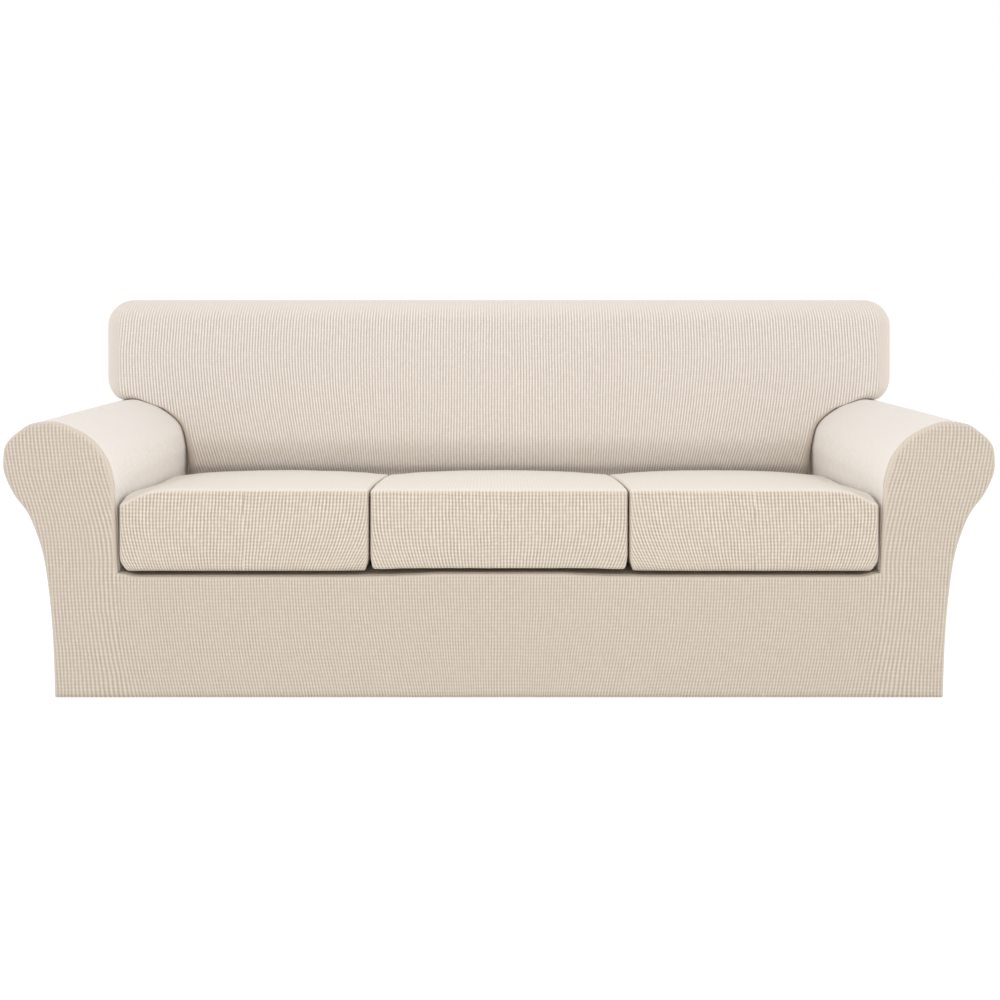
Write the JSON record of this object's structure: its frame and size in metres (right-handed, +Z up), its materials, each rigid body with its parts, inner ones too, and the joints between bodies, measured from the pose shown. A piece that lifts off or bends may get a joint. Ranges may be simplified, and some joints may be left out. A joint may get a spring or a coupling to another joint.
{
  "type": "sofa slipcover",
  "caption": "Fitted stretch slipcover set for a roll-arm sofa: hollow base cover with a winged back and a skirt to the floor, and separate boxed covers for the seat cushions.",
  "frame": {"origin": "on the floor, under the middle of the set's bounding box", "axes": "+X to the right as seen from in front, -Y towards the front, +Z up"},
  "size_m": [2.2, 0.9, 0.88],
  "materials": {
    "base_cloth": "matt beige stretch jacquard, small waffle weave",
    "cushion_cloth": "matt beige stretch jacquard, small waffle weave"
  },
  "bodies": {
    "root": {"front_apron": "base_cloth", "seat_deck": "base_cloth", "inside_back": "base_cloth", "outside_back": "base_cloth", "arm_left": "base_cloth", "arm_right": "base_cloth", "cushion_cover_left": "cushion_cloth", "cushion_cover_middle": "cushion_cloth", "cushion_cover_right": "cushion_cloth"}
  },
  "joints": []
}
